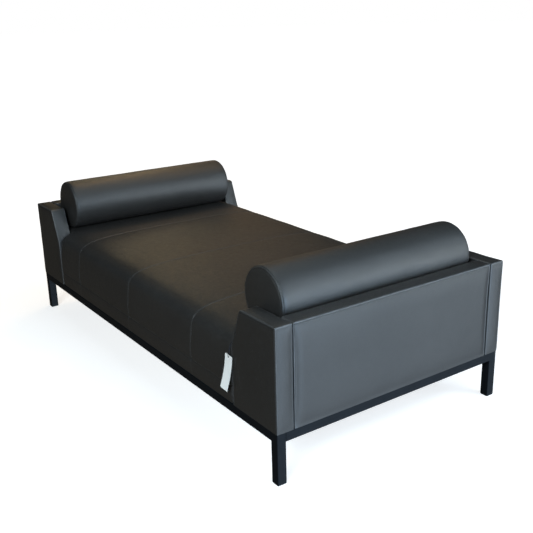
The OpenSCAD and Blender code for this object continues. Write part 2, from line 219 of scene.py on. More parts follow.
class Skin:
    def __init__(self):
        self.index, self.points, self.grids = {}, [], {}

    def add(self, name, grid):
        """Adds an m by n grid of points. Points shared with earlier grids are welded."""
        ids = np.empty(grid.shape[:2], int)
        for i in range(grid.shape[0]):
            for j in range(grid.shape[1]):
                key = tuple(np.round(grid[i, j], 2) + 0.0)
                if key not in self.index:
                    self.index[key] = len(self.points)
                    self.points.append(grid[i, j])
                ids[i, j] = self.index[key]
        self.grids[name] = ids

    def close(self):
        """Settles the point array and turns every grid's faces outwards."""
        self.v = np.array(self.points, float)
        middle = (self.v.min(0) + self.v.max(0)) / 2
        faces = []
        for ids in self.grids.values():
            quads = np.stack([ids[:-1, :-1], ids[1:, :-1], ids[1:, 1:], ids[:-1, 1:]], -1).reshape(-1, 4)
            a, b, c, d = (self.v[quads[:, k]] for k in range(4))
            normal = np.cross(c - a, d - b)
            if (normal * ((a + c) / 2 - middle)).sum() < 0:
                quads = quads[:, ::-1]
            faces += [list(dict.fromkeys(q)) for q in quads.tolist()]
        self.faces = [f for f in faces if len(f) > 2]
        self.wear = np.zeros(len(self.v))

    def normals(self):
        total = np.zeros_like(self.v)
        for size in (3, 4):
            f = np.array([x for x in self.faces if len(x) == size], int).reshape(-1, size)
            if len(f):
                n = np.cross(self.v[f[:, 2]] - self.v[f[:, 0]], self.v[f[:, -1]] - self.v[f[:, 1]])
                for k in range(size):
                    np.add.at(total, f[:, k], n)
        return total / np.maximum(np.linalg.norm(total, axis=1), 1e-9)[:, None]

    def push(self, amounts):
        """Moves every point along its normal by its amount."""
        self.v = self.v + self.normals() * np.asarray(amounts)[:, None]

    def mesh(self, name, mirror=(1, 1, 1)):
        data = bpy.data.meshes.new(name)
        flip = np.prod(mirror) < 0
        faces = [f[::-1] if flip else f for f in self.faces]
        data.from_pydata((self.v * mirror * MM).tolist(), [], faces)
        data.attributes.new("wear", "FLOAT", "POINT").data.foreach_set("value", self.wear.astype(np.float32))
        data.polygons.foreach_set("use_smooth", [True] * len(data.polygons))
        piece = bpy.data.objects.new(name, data)
        bpy.context.collection.objects.link(piece)
        return piece


def ripple(points, scale, seed):
    """Soft noise from -1 to 1 at each point."""
    return np.array([noise.noise(Vector(p) / scale + Vector((seed, 0, 0))) for p in points])


def hump(distance, width):
    return np.exp(-(distance / width) ** 2)


CLOTH_FRAMES = 20


def inflate(skin, voxel, cap, pinned):
    """Blows up a remeshed copy of the skin as cloth, and carries its movement, up to cap mm, to the skin."""
    copy = skin.mesh("inflating")
    remesh = copy.modifiers.new("remesh", "REMESH")
    remesh.mode, remesh.voxel_size = "VOXEL", voxel * MM
    bpy.context.view_layer.update()
    graph = bpy.context.evaluated_depsgraph_get()
    even = bpy.data.meshes.new_from_object(copy.evaluated_get(graph))
    bpy.data.objects.remove(copy)
    blown = bpy.data.objects.new("blown", even)
    bpy.context.collection.objects.link(blown)
    rest = np.empty(len(even.vertices) * 3)
    even.vertices.foreach_get("co", rest)
    rest = rest.reshape(-1, 3)
    group = blown.vertex_groups.new(name="pin")
    held = pinned(rest / MM)
    group.add([int(k) for k in np.nonzero(held)[0]], 1.0, "REPLACE")
    cloth = blown.modifiers.new("cloth", "CLOTH")
    cloth.settings.quality = 5
    cloth.settings.mass = 0.4
    cloth.settings.tension_stiffness = cloth.settings.compression_stiffness = 30
    cloth.settings.shear_stiffness = 15
    cloth.settings.bending_stiffness = 2
    cloth.settings.use_pressure = True
    cloth.settings.uniform_pressure_force = 4
    cloth.settings.effector_weights.gravity = 0
    cloth.settings.vertex_group_mass = "pin"
    cloth.collision_settings.use_collision = False
    cloth.point_cache.frame_start, cloth.point_cache.frame_end = 1, CLOTH_FRAMES
    for f in range(1, CLOTH_FRAMES + 1):
        bpy.context.scene.frame_set(f)
    graph = bpy.context.evaluated_depsgraph_get()
    moved = np.empty(len(rest) * 3)
    blown.evaluated_get(graph).data.vertices.foreach_get("co", moved)
    shift = (moved.reshape(-1, 3) - rest) / MM
    bpy.data.objects.remove(blown)
    bpy.context.scene.frame_set(1)
    far = np.linalg.norm(shift, axis=1)
    shift *= (cap * np.tanh(far / cap) / np.maximum(far, 1e-9))[:, None]
    tree = kdtree.KDTree(len(rest))
    for k, p in enumerate(rest):
        tree.insert(p, k)
    tree.balance()
    for k, p in enumerate(skin.v * MM):
        near = tree.find_n(p, 5)
        weight = np.array([1 / (d + voxel * MM * 0.3) ** 2 for _, _, d in near])
        skin.v[k] += (shift[[i for _, i, _ in near]] * weight[:, None]).sum(0) / weight.sum()


def upholster(piece, body, covers):
    piece.data.materials.append(LEATHER)
    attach(piece, body)
    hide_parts(*covers)


# ---- stitching ----

THREADS = {}
STITCH_PITCH, STITCH_LENGTH, THREAD_R, THREAD_SIDES = 6.0, 4.6, 0.42, 5
# Along a stitch: place in its length, lift in thread radii, and width
STITCH_RINGS = ((-0.5, -0.6, 0.55), (-0.34, 0.35, 1.0), (0.0, 0.6, 1.0), (0.34, 0.35, 1.0), (0.5, -0.6, 0.55))


def stitch(group, line, normals):
    """Adds a row of single stitches to a group, along a line on a surface (mm)."""
    line, normals = np.asarray(line, float), np.asarray(normals, float)
    steps = np.linalg.norm(np.diff(line, axis=0), axis=1)
    reach = np.concatenate([[0], np.cumsum(steps)])
    count = int((reach[-1] - STITCH_LENGTH) / STITCH_PITCH) + 1
    verts, faces = THREADS.setdefault(group, ([], []))
    sides = THREAD_SIDES
    for s in range(count):
        centre = STITCH_LENGTH / 2 + s * STITCH_PITCH
        ends = [centre - STITCH_LENGTH / 2, centre + STITCH_LENGTH / 2]
        a, b = (np.array([np.interp(e, reach, line[:, k]) for k in range(3)]) for e in ends)
        up = np.array([np.interp(centre, reach, normals[:, k]) for k in range(3)])
        along = (b - a) / np.linalg.norm(b - a)
        up = up - along * up.dot(along)
        up /= np.linalg.norm(up)
        across = np.cross(along, up)
        base = len(verts)
        for t, lift, wide in STITCH_RINGS:
            ring = (a + b) / 2 + along * t * STITCH_LENGTH + up * lift * THREAD_R
            for k in range(sides):
                turn = math.tau * k / sides
                verts.append(ring + THREAD_R * wide * (across * math.cos(turn) + up * math.sin(turn)))
        for r in range(len(STITCH_RINGS) - 1):
            for k in range(sides):
                nxt = (k + 1) % sides
                faces.append([base + r * sides + k, base + r * sides + nxt,
                              base + (r + 1) * sides + nxt, base + (r + 1) * sides + k])
        last = base + (len(STITCH_RINGS) - 1) * sides
        faces.append([base + k for k in range(sides)][::-1])
        faces.append([last + k for k in range(sides)])


def thread_material():
    n = Nodes("thread")
    p = n.place()
    strand = n.noise(n.stretch(p, (900, 900, 900)), 1.0, 2.0)
    colour = n.blend(n.spread(n.noise(p, 30), 0.3, 0.7), (0.038, 0.036, 0.034), (0.062, 0.059, 0.055))
    colour = n.blend(n.spread(strand, 0.35, 0.65, 0.4, 0.0), colour, (0.012, 0.012, 0.012))
    return n.finish(colour, n.spread(strand, 0.3, 0.7, 0.75, 0.5), n.bump(strand, 0.6, 0.0002))


def sew_groups(body_of_group):
    thread = thread_material()
    for group, (verts, faces) in THREADS.items():
        data = bpy.data.meshes.new(group)
        data.from_pydata([tuple(v * MM) for v in verts], [], faces)
        data.polygons.foreach_set("use_smooth", [True] * len(data.polygons))
        data.materials.append(thread)
        piece = bpy.data.objects.new(group, data)
        bpy.context.collection.objects.link(piece)
        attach(piece, body_of_group(group))


# ---- the swing tag's string ----

STRING_D = 0.0012
STRING_ROUTE = [
    (0.776, -0.5135, 0.419), (0.773, -0.5148, 0.4144), (0.770, -0.5162, 0.409), (0.7682, -0.5176, 0.4035),
    (0.767, -0.519, 0.397), (0.7662, -0.5204, 0.3905), (0.7655, -0.5218, 0.384), (0.7648, -0.5232, 0.3775),
    (0.7642, -0.5244, 0.371), (0.7636, -0.525, 0.3645), (0.7632, -0.5243, 0.3604), (0.7632, -0.5219, 0.3590),
    (0.7634, -0.5195, 0.3604), (0.7638, -0.5188, 0.3645), (0.7644, -0.5185, 0.3715), (0.7651, -0.518, 0.3785),
    (0.7658, -0.5174, 0.3855), (0.7666, -0.5167, 0.392), (0.7674, -0.5158, 0.398), (0.7684, -0.5147, 0.4035),
    (0.770, -0.5134, 0.409), (0.773, -0.512, 0.4144), (0.776, -0.5108, 0.419),
]


def smooth_line(route, steps):
    """A Catmull-Rom line through the route's points."""
    p = np.array([route[0], *route, route[-1]], float)
    out = []
    for i in range(1, len(p) - 2):
        a, b, c, d = p[i - 1:i + 3]
        for t in np.arange(steps) / steps:
            out.append(0.5 * (2 * b + (c - a) * t + (2 * a - 5 * b + 4 * c - d) * t ** 2
                              + (3 * b - a - 3 * c + d) * t ** 3))
    return np.array(out + [p[-2]])


def hang_tag():
    line = smooth_line(STRING_ROUTE, 4)
    curve = bpy.data.curves.new("tag_string", "CURVE")
    curve.dimensions, curve.bevel_depth, curve.bevel_resolution = "3D", STRING_D / 2, 3
    curve.use_fill_caps = True
    spline = curve.splines.new("POLY")
    spline.points.add(len(line) - 1)
    for point, p in zip(spline.points, line):
        point.co = (*p, 1)
    string = bpy.data.objects.new("tag_string", curve)
    bpy.context.collection.objects.link(string)
    n = Nodes("tag_string")
    p = n.place()
    ply = n.add("ShaderNodeTexWave", {"Scale": 520, "Distortion": 2.0}, bands_direction="DIAGONAL")
    n.link(p, ply.inputs["Vector"])
    twist = ply.outputs["Fac"]
    colour = n.blend(twist, (0.002, 0.004, 0.011), (0.008, 0.013, 0.030))
    curve.materials.append(n.finish(colour, n.spread(twist, 0, 1, 0.9, 0.6), n.bump(twist, 0.8, 0.0003)))
    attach(string, "swing_tag")
    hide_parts("swing_tag_string")


hang_tag()


# ---- spacing of grid lines ----

def spaced(low, high, step, fine=(), around=()):
    """Positions from low to high about step apart, with closer lines round each fine place."""
    marks = {round(low, 3), round(high, 3)}
    for f in fine:
        marks |= {round(f + s * a, 3) for a in around for s in (-1, 1) if low <= f + s * a <= high}
    marks = sorted(marks)
    out = [marks[0]]
    for a, b in zip(marks, marks[1:]):
        n = max(1, round((b - a) / step))
        out += [a + (b - a) * k / n for k in range(1, n + 1)]
    return np.array(out)


# ---- seat ----

SEAM_LINES = (0, 0.9, 1.9, 3.2, 5, 8, 13)      # grid lines on both sides of a seam
LOW_SEAM_Z = mm_box("seat_side_rail_right")[1][2]
SECTION_LONG, MIDDLE_SEAM = 518, -27
CROSS_SEAMS = [MIDDLE_SEAM + k * SECTION_LONG for k in (-1, 0, 1)]
STITCH_FROM_SEAM = 5
SEAT_LOW = seat_low[2] + 0.3
SEAT_TOP, SEAT_END_TOP = seat_high[2] + 0.4, seat_high[2] - 12.5
EASE_FROM, EASE_LENGTH = 563, 160              # where the top eases down under the bolsters
ARM_FRONT, NECK_HALF, SEAT_END = arm_low[0] - 1, arm_low[1] - 1, seat_high[0]
CORNER_R = 12                                  # of the seat's corners in front of the arms
WHOLE_WIDTH = 900.0                            # a limit that is wider than the seat, so no limit


def half_section():
    """The seat's right-hand section from the rail to the middle of its top: distance across and height."""
    knots = [
        (512.8, SEAT_LOW), (514.6, 192), (516.4, 204), (517.4, 220), (517.6, 236), (516.8, 250),
        (517.4, 266), (517.2, 286), (516.2, 306), (514.2, 330), (511.6, 354), (508, 377), (502, 400),
        (491, 416), (473, 428), (447, 438.6), (402, 446.4), (350, 450.8), (270, 454.8), (190, 457),
        (90, 458), (0, 458.2),
    ]
    line = smooth_line([(y, 0, z) for y, z in knots], 12)[:, [0, 2]]
    reach = np.concatenate([[0], np.cumsum(np.linalg.norm(np.diff(line, axis=0), axis=1))])
    low_seam = float(np.interp(LOW_SEAM_Z, line[:120, 1], reach[:120]))
    marks = spaced(0, reach[-1], 9.5, [low_seam], SEAM_LINES)
    return np.stack([np.interp(marks, reach, line[:, k]) for k in (0, 1)], 1), marks, low_seam


def soft_min(a, b, k):
    low = np.minimum(a, b)
    return -k * np.log(np.exp(-(a - low) / k) + np.exp(-(b - low) / k)) + low


def seat_plan():
    """Along the bed: each section's place, how far its rounded end draws it in, and its half width limit."""
    r, corner = CORNER_R, ARM_FRONT - CORNER_R
    middle = [(x, 0.0, WHOLE_WIDTH) for x in spaced(-corner, corner, 16, CROSS_SEAMS, SEAM_LINES)]
    bearings = [math.radians(a) for a in (15, 30, 45, 60, 75, 90)]
    end = [(corner + r * math.sin(a), r * (1 - math.cos(a)), WHOLE_WIDTH) for a in bearings]
    end += [(ARM_FRONT, r, w) for w in (500, 490, 478, 466, 456, 450, NECK_HALF)]
    end += [(x, r, NECK_HALF) for x in spaced(ARM_FRONT, SEAT_END, 14)[1:]]
    end += [(SEAT_END, r, w) for w in (430, 380, 300, 200, 100, 0.5)]
    return [(-x, d, w) for x, d, w in end[::-1]] + middle + end


def make_seat():
    half, marks, low_seam = half_section()
    both = np.concatenate([half * (-1, 1), half[-2::-1]])
    grid = []
    for x, draw_in, limit in seat_plan():
        t = np.clip((abs(x) - EASE_FROM) / EASE_LENGTH, 0, 1)
        top = SEAT_TOP + (SEAT_END_TOP - SEAT_TOP) * t * t * (3 - 2 * t)
        side = np.sign(both[:, 0])
        wide = np.abs(both[:, 0])
        z = np.where(both[:, 1] > 400, soft_min(both[:, 1], np.full(len(both), top + 1.0), 2.0), both[:, 1])
        near_edge = np.clip((wide - 440) / 60, 0, 1)
        wide = np.minimum(wide - draw_in * near_edge, limit)
        z = z - draw_in * 0.5 * np.clip((z - 380) / 50, 0, 1) * near_edge * (limit == WHOLE_WIDTH)
        grid.append(np.stack([np.full(len(both), x), side * wide, z], 1))
    skin = Skin()
    skin.add("all", np.array(grid))
    skin.close()
    def pinned(p):
        near_seam = np.min([np.abs(p[:, 0] - s) for s in CROSS_SEAMS], 0) < 9
        low = p[:, 2] < LOW_SEAM_Z + 6
        ends = np.abs(p[:, 0]) > ARM_FRONT - 6
        return near_seam | low | ends
    inflate(skin, voxel=14, cap=5, pinned=pinned)
    v = skin.v
    across = np.min([np.abs(v[:, 0] - s) for s in CROSS_SEAMS], 0)
    on_skin = v[:, 2] > LOW_SEAM_Z - 4
    low = np.abs(v[:, 2] - LOW_SEAM_Z)
    open_side = (np.abs(v[:, 0]) < ARM_FRONT - 2) & (np.abs(v[:, 1]) > 480)
    groove = -1.5 * hump(across, 1.5) * on_skin - 1.2 * hump(across, 22) * on_skin
    groove += (-1.3 * hump(low, 1.5) - 0.9 * hump(low, 16)) * open_side
    pucker = 0.35 * ripple(v, 9, 3) * (hump(across, 14) * on_skin + hump(low, 12) * open_side)
    soft = 0.9 * ripple(v, 150, 7) + 0.35 * ripple(v, 48, 11)
    skin.push(groove + pucker + soft * np.clip((v[:, 2] - 200) / 60, 0, 1))
    skin.v[:, 2] = np.maximum(skin.v[:, 2], SEAT_LOW)
    # The same lighter bluish edge colour as on the arms, along the cross seams and the side's upper rounding:
    # partly wear, partly a painted highlight.
    skin.wear = np.clip(0.22 * hump(across, 4) + 0.2 * hump(np.abs(skin.v[:, 2] - 410), 26)
                        * (np.abs(skin.v[:, 1]) > 470) * (0.6 + 0.4 * ripple(v, 60, 5)), 0, 1)
    ids, normals = skin.grids["all"], skin.normals()
    xs = np.array([x for x, _, _ in seat_plan()])
    z0 = skin.v[ids[len(ids) // 2], 2]
    for s in CROSS_SEAMS:
        row = ids[int(np.argmin(np.abs(xs - (s + STITCH_FROM_SEAM))))]
        keep = row[z0 > LOW_SEAM_Z + 4]
        stitch("seat_stitching", skin.v[keep], normals[keep])
    column = int(np.argmin(np.abs(marks - (low_seam + STITCH_FROM_SEAM))))
    rows = np.abs(xs) < ARM_FRONT - 16
    for c in (column, ids.shape[1] - 1 - column):
        stitch("seat_stitching", skin.v[ids[rows, c]], normals[ids[rows, c]])
    piece = skin.mesh("seat_upholstery")
    upholster(piece, "root", ["seat_cover", "seat_foam"])


make_seat()


# ---- rounded blocks: arms and end panels ----

def block_axis(half, r, step, seam):
    """Grid lines across a rounded block: close together on its edges and beside its seams."""
    edge = [r * (1 - math.tan(math.radians(a))) for a in (45, 36, 27, 18, 9)]
    seam_lines = [r + seam + d for d in (-1.6, -0.8, 0, 0.8, 1.6, 3.2, 5.5, 9)]
    start = sorted(set(np.round(edge + [r] + seam_lines, 3)))
    inner = spaced(-half + start[-1], half - start[-1], step)
    return np.concatenate([[-half + s for s in start], inner[1:-1], [half - s for s in start[::-1]]])


class Block(Skin):
    """A closed block with rounded edges, made of six welded grids in its own box and placed on the bed.
    The two faces across its sewn axis have a seam beside those of their edges that lie across the axes in
    edges, and fall off by fall mm towards the block's two ends in Y."""

    def __init__(self, size, r, steps, seam, sewn, edges, fall, place, unplace):
        super().__init__()
        self.half, self.r, self.seam = np.array(size) / 2, r, seam
        self.sewn, self.edges, self.fall, self.unplace = sewn, edges, fall, unplace
        self.axes = [block_axis(self.half[k], r, steps[k], seam) for k in range(3)]
        for k in range(3):
            a, b = [i for i in range(3) if i != k]
            for sign in (-1, 1):
                grid = np.empty((len(self.axes[a]), len(self.axes[b]), 3))
                grid[..., k] = sign * self.half[k]
                grid[..., a] = self.axes[a][:, None]
                grid[..., b] = self.axes[b][None, :]
                core = np.clip(grid, -(self.half - r), self.half - r)
                out = grid - core
                grid = core + out * (r / np.linalg.norm(out, axis=-1, keepdims=True))
                self.add("xyz"[k] + ("-" if sign < 0 else "+"), grid)
        self.close()
        self.box = self.v.copy()
        self.v = place(self.v)

    def on_panel(self, box, k):
        """Each point's distance from the sewn edges, and whether it lies on a face across axis k."""
        edges = [self.half[i] - (box[:, 2] if i == 2 else np.abs(box[:, i])) for i in self.edges]
        return np.min(edges, 0), np.abs(box[:, k]) > self.half[k] - 1.5

    def puff(self, voxel, cap):
        def pinned(p):
            box = self.unplace(p)
            held = box[:, 2] < -self.half[2] + self.r + 10
            d, on = self.on_panel(box, self.sewn)
            return held | on & (d < self.r + self.seam + 3)
        inflate(self, voxel, cap, pinned)

    def dress(self, seed):
        """Edge grooves, small unevenness, and lighter edges that are partly handling wear and partly a
        painted highlight.
        """
        amount = 0.5 * ripple(self.box, 75, seed) + 0.2 * ripple(self.box, 24, seed + 3)
        d, on = self.on_panel(self.box, self.sewn)
        away = d - (self.r + self.seam)
        outside = np.abs(self.box[:, self.sewn]) > self.half[self.sewn] - self.r
        amount += on * (-2.2 * hump(away, 1.5) + 0.3 * ripple(self.box, 9, seed + 9) * hump(away, 10))
        amount += 0.7 * hump(d, self.r * 0.7) * outside
        amount -= self.fall * on * hump(self.half[1] - np.abs(self.box[:, 1]), FALL_WIDTH)
        amount *= np.clip((self.box[:, 2] + self.half[2] - self.r) / 12, 0, 1)
        self.push(amount)
        # Painted highlight, partly wear: a thin lighter, bluish line along each rounded edge, where the
        # corners catch the light.
        sharp = np.sort(self.half - np.abs(self.box), axis=1)[:, 1]
        wear_and_highlight_strength = 1.1 + 0.5 * ripple(self.box, 45, seed + 5)
        self.wear = np.clip(hump(sharp, self.r * 0.7) * wear_and_highlight_strength, 0, 1)

    def open_bottom(self, lip):
        """Leaves the bottom open inside a lip, where the plywood core shows."""
        inside = (np.abs(self.box[:, 0]) < self.half[0] - lip) & (np.abs(self.box[:, 1]) < self.half[1] - lip)
        inside &= self.box[:, 2] < -self.half[2] + 0.5
        self.faces = [f for f in self.faces if not inside[f].all()]

    def line(self, *parts):
        """Point numbers along grid lines, each part a face name and an index into its grid."""
        ids = [k for name, where in parts for k in self.grids[name][where]]
        return [a for a, b in zip(ids, [-1] + ids[:-1]) if a != b]


ARM_R, PANEL_R = 5.0, 6.0
SEAM_IN = 0.8                          # from a rounded edge to the groove of its seam
PANEL_FALL, FALL_WIDTH = 3.0, 13.0     # how far the end panels fall off towards the arms
ARM_STITCH_IN, PANEL_STITCH_IN = 5.2, 6.2
LIP = 18                               # of cover left under a block's edges
# Blocks start a little smaller than their CAD solids, because they swell
BLOCK_LOW, BLOCK_TOP, BLOCK_OUT = arm_low[2] + 0.2, arm_high[2] - 0.5, arm_high[0] - 1
BLOCK_H = BLOCK_TOP - BLOCK_LOW
ARM_LONG, ARM_THICK = arm_high[0] - arm_low[0] - 2, arm_high[1] - arm_low[1] - 3
ARM_Y = (arm_low[1] + arm_high[1]) / 2
PANEL_THICK, PANEL_WIDE = panel_high[0] - panel_low[0] - 3, panel_high[1] - panel_low[1] - 1
# An arm's sloping front: heights, and how far it has drawn back there
FRONT_Z = (185, 388, 394, 402, 410, 418, 426, 434, 530, 538, 543, 547)
FRONT_BACK = (0, 0, 0.6, 1.8, 4, 7.6, 11.9, 15.2, 53.3, 57, 60.6, 66)


def block_z(r):
    """Middle of a block that reaches its edge radius below its bottom, where it is cut off square."""
    return BLOCK_TOP - (BLOCK_H + r) / 2


def arm_depth(z):
    """The arm's length at a height, as a share of its length at its foot."""
    return 1 - np.interp(z, FRONT_Z, FRONT_BACK) / ARM_LONG


def arm_place(box):
    z = np.maximum(box[:, 2] + block_z(ARM_R), BLOCK_LOW)
    return np.stack([BLOCK_OUT - (ARM_LONG / 2 - box[:, 0]) * arm_depth(z), box[:, 1] + ARM_Y, z], 1)


def arm_unplace(p):
    return np.stack([ARM_LONG / 2 - (BLOCK_OUT - p[:, 0]) / arm_depth(p[:, 2]), p[:, 1] - ARM_Y,
                     p[:, 2] - block_z(ARM_R)], 1)


def panel_place(box):
    p = box + (BLOCK_OUT - PANEL_THICK / 2, 0, block_z(PANEL_R))
    return np.maximum(p, (-np.inf, -np.inf, BLOCK_LOW))


def panel_unplace(p):
    return p - (BLOCK_OUT - PANEL_THICK / 2, 0, block_z(PANEL_R))


def make_arms():
    arm = Block((ARM_LONG, ARM_THICK, BLOCK_H + ARM_R), ARM_R, steps=(9, 9, 9), seam=SEAM_IN, sewn=1,
                edges=(0, 2), fall=0.0, place=arm_place, unplace=arm_unplace)
    arm.puff(voxel=7, cap=3)
    arm.open_bottom(LIP)
    start = arm.v.copy()
    for seed, (e, s) in enumerate([(e, s) for e in ENDS for s in SIDES]):
        arm.v = start.copy()
        arm.dress(20 + 10 * seed)
        mirror = np.array((1 if e == "foot" else -1, -1 if s == "right" else 1, 1))
        normals = arm.normals()
        for y in (ARM_STITCH_IN - ARM_THICK / 2, ARM_THICK / 2 - ARM_STITCH_IN):
            j = int(np.argmin(np.abs(arm.axes[1] - y)))
            row = arm.line(("x-", (j, slice(8, None))), ("z+", (slice(None), j)),
                           ("x+", (j, slice(None, 8, -1))))
            stitch("arm_stitching", arm.v[row] * mirror, normals[row] * mirror)
        covers = [f"arm_cover_{e}_{s}", f"arm_foam_{e}_{s}"]
        upholster(arm.mesh(f"arm_{e}_{s}", mirror), "root", covers)


def make_panels():
    panel = Block((PANEL_THICK, PANEL_WIDE, BLOCK_H + PANEL_R), PANEL_R, steps=(9, 13, 10), seam=SEAM_IN,
                  sewn=0, edges=(2,), fall=PANEL_FALL, place=panel_place, unplace=panel_unplace)
    panel.puff(voxel=8, cap=3.5)
    panel.open_bottom(LIP)
    start = panel.v.copy()
    for seed, e in enumerate(ENDS):
        panel.v = start.copy()
        panel.dress(60 + 10 * seed)
        mirror = np.array((1 if e == "foot" else -1, 1, 1))
        normals = panel.normals()
        for x in (PANEL_STITCH_IN - PANEL_THICK / 2, PANEL_THICK / 2 - PANEL_STITCH_IN):
            i = int(np.argmin(np.abs(panel.axes[0] - x)))
            row = panel.line(("z+", (i, slice(6, -6))))
            stitch("panel_stitching", panel.v[row] * mirror, normals[row] * mirror)
        covers = [f"panel_cover_{e}", f"panel_foam_{e}"]
        upholster(panel.mesh(f"end_panel_{e}", mirror), "root", covers)


make_arms()
make_panels()


# ---- bolsters ----

BOLSTER_X, BOLSTER_Z = [(cap_low[k] + cap_high[k]) / 2 for k in (0, 2)]
BOLSTER_R = (cap_high[2] - cap_low[2]) / 2 - 1
CAP_SEAM_Y, CAP_SEAM_IN = cap_low[1] - 0.4, 3.4
CAP_SEAM_R = BOLSTER_R - CAP_SEAM_IN
CAP_LINE_R, CAP_STITCH_R = BOLSTER_R - 10.8, BOLSTER_R - 12.6
CAP_Y, CAP_R, CAP_CROWN = cap_high[1] + 0.8, BOLSTER_R - 9, 8.5
# The sleeve's turn into the cap: distance before the seam, and below the sleeve's radius
CAP_TURN = (
    (17.6, 0.1), (14.1, 0.3), (10.6, 0.6), (7.6, 1.0), (5.1, 1.5), (3.0, 2.0), (1.3, 2.6),
    (0, CAP_SEAM_IN), (-0.8, 4.0), (-1.8, 5.4), (-2.6, 7.2),
)
SLEEVE_SEAM = -38.0                            # bearing round the bolster, in degrees
SLEEVE_STITCH = 2.4                            # degrees beside that seam
BOLSTER_LOW, SQUASH = cap_low[2] + 0.4, 8      # its flat underside, and how high the flattening reaches


def bolster_profile():
    """Half the bolster's outline from its middle to the centre of a cap: place along it and radius (mm)."""
    sleeve = [(y, BOLSTER_R) for y in spaced(0, CAP_SEAM_Y - 21.6, 14)]
    turn = [(CAP_SEAM_Y - before, BOLSTER_R - below) for before, below in CAP_TURN]
    rings = (CAP_R, 103, CAP_LINE_R, 101.4, CAP_STITCH_R, 99, 95, 89, 82, 74, 65, 56, 46, 36, 26, 16, 7, 0)
    return sleeve + turn + [(CAP_Y + CAP_CROWN * (1 - (r / CAP_R) ** 2), r) for r in rings]


def make_bolsters():
    half = bolster_profile()
    profile = [(-y, r) for y, r in half[:0:-1]] + half
    round_seam = (0, 0.4, 0.8, 1.4, SLEEVE_STITCH)
    turns = spaced(SLEEVE_SEAM, SLEEVE_SEAM + 360, 2.6, (SLEEVE_SEAM, SLEEVE_SEAM + 360), round_seam)
    a = np.radians(turns)
    grid = np.array([np.stack([BOLSTER_X + r * np.cos(a), np.full(len(a), y), BOLSTER_Z + r * np.sin(a)], 1)
                     for y, r in profile])
    skin = Skin()
    skin.add("all", grid)
    skin.close()
    flat = skin.v.copy()
    def pinned(p):
        away = np.hypot(p[:, 0] - BOLSTER_X, p[:, 2] - BOLSTER_Z)
        return (np.abs(np.abs(p[:, 1]) - CAP_SEAM_Y) < 6) & (away > CAP_R)
    inflate(skin, voxel=9, cap=2.5, pinned=pinned)
    start = skin.v.copy()
    away = np.hypot(flat[:, 0] - BOLSTER_X, flat[:, 2] - BOLSTER_Z)
    bearing = np.degrees(np.arctan2(flat[:, 2] - BOLSTER_Z, flat[:, 0] - BOLSTER_X))
    seam = np.hypot(np.abs(flat[:, 1]) - CAP_SEAM_Y, away - CAP_SEAM_R)
    on_sleeve = np.clip((CAP_SEAM_Y - np.abs(flat[:, 1])) / 6, 0, 1)
    lengthwise = np.radians(bearing - SLEEVE_SEAM) * BOLSTER_R
    for seed, e in enumerate(ENDS):
        skin.v = start.copy()
        amount = 1.2 * ripple(flat * (1, 0.6, 1), 90, 80 + seed) + 0.5 * ripple(flat, 32, 84 + seed)
        amount += -2.4 * hump(seam, 1.7) + 0.45 * ripple(flat, 10, 88 + seed) * hump(seam, 16)
        amount += -1.3 * hump(away - CAP_LINE_R, 1.1) * (on_sleeve == 0)
        amount += on_sleeve * (-1.2 * hump(lengthwise, 1.4) - 0.8 * hump(lengthwise, 12))
        skin.push(amount)
        low = skin.v[:, 2] - BOLSTER_LOW
        flattened = SQUASH * np.exp(np.minimum(low, SQUASH) / SQUASH - 1)
        skin.v[:, 2] = BOLSTER_LOW + np.where(low > SQUASH, low, flattened)
        # A lighter bluish band along the cap seams: partly wear, partly a painted highlight on the rim.
        skin.wear = np.clip(0.5 * hump(seam, 3) * (0.6 + 0.6 * ripple(flat, 40, 90 + seed)), 0, 1)
        mirror = np.array((1 if e == "foot" else -1, 1, 1))
        ids, normals = skin.grids["all"], skin.normals()
        lines = [ids[i] for i, (_, r) in enumerate(profile) if r == CAP_STITCH_R]
        column = int(np.argmin(np.abs((turns - SLEEVE_SEAM) - SLEEVE_STITCH)))
        lines.append(ids[[i for i, (_, r) in enumerate(profile) if r == BOLSTER_R], column])
        for line in lines:
            stitch(f"bolster_stitching_{e}", skin.v[line] * mirror, normals[line] * mirror)
        covers = [f"bolster_{k}_{e}" for k in ("sleeve", "foam")]
        covers += [f"bolster_cap_{e}_{s}" for s in SIDES]
        upholster(skin.mesh(f"bolster_{e}", mirror), f"{e}_bolster", covers)


make_bolsters()
sew_groups(lambda g: g.replace("bolster_stitching_", "") + "_bolster" if g.startswith("bolster") else "root")


# ---- finishes of the CAD parts ----

def powder_coat():
    n = Nodes("base_paint")
    p = n.place()
    cloud = n.spread(n.noise(p, 7, 3.0), 0.3, 0.7)
    colour = n.blend(cloud, (0.0038, 0.0052, 0.0072), (0.0058, 0.0076, 0.0100))
    peel = n.noise(p, 950, 2.0)
    rough = n.spread(n.noise(p, 40, 3.0), 0.3, 0.7, 0.5, 0.6)
    return n.finish(colour, rough, n.bump(peel, 0.25, 0.0002), Specular_IOR_Level=0.1)


def wood(name, dark, light, layers=False):
    n = Nodes(name)
    p = n.place()
    if layers:
        rings = n.noise(n.stretch(p, (3, 420, 3)), 1.0, 2.0)
    else:
        rings = n.noise(n.stretch(p, (5, 90, 90)), 1.0, 4.0, 0.6)
    fibre = n.noise(n.stretch(p, (30, 700, 700)), 1.0, 2.0)
    colour = n.blend(n.spread(rings, 0.35, 0.65), dark, light)
    colour = n.blend(n.spread(fibre, 0.4, 0.7, 0.0, 0.35), colour, dark)
    return n.finish(colour, n.spread(fibre, 0.3, 0.7, 0.6, 0.8), n.bump(fibre, 0.35, 0.0004))


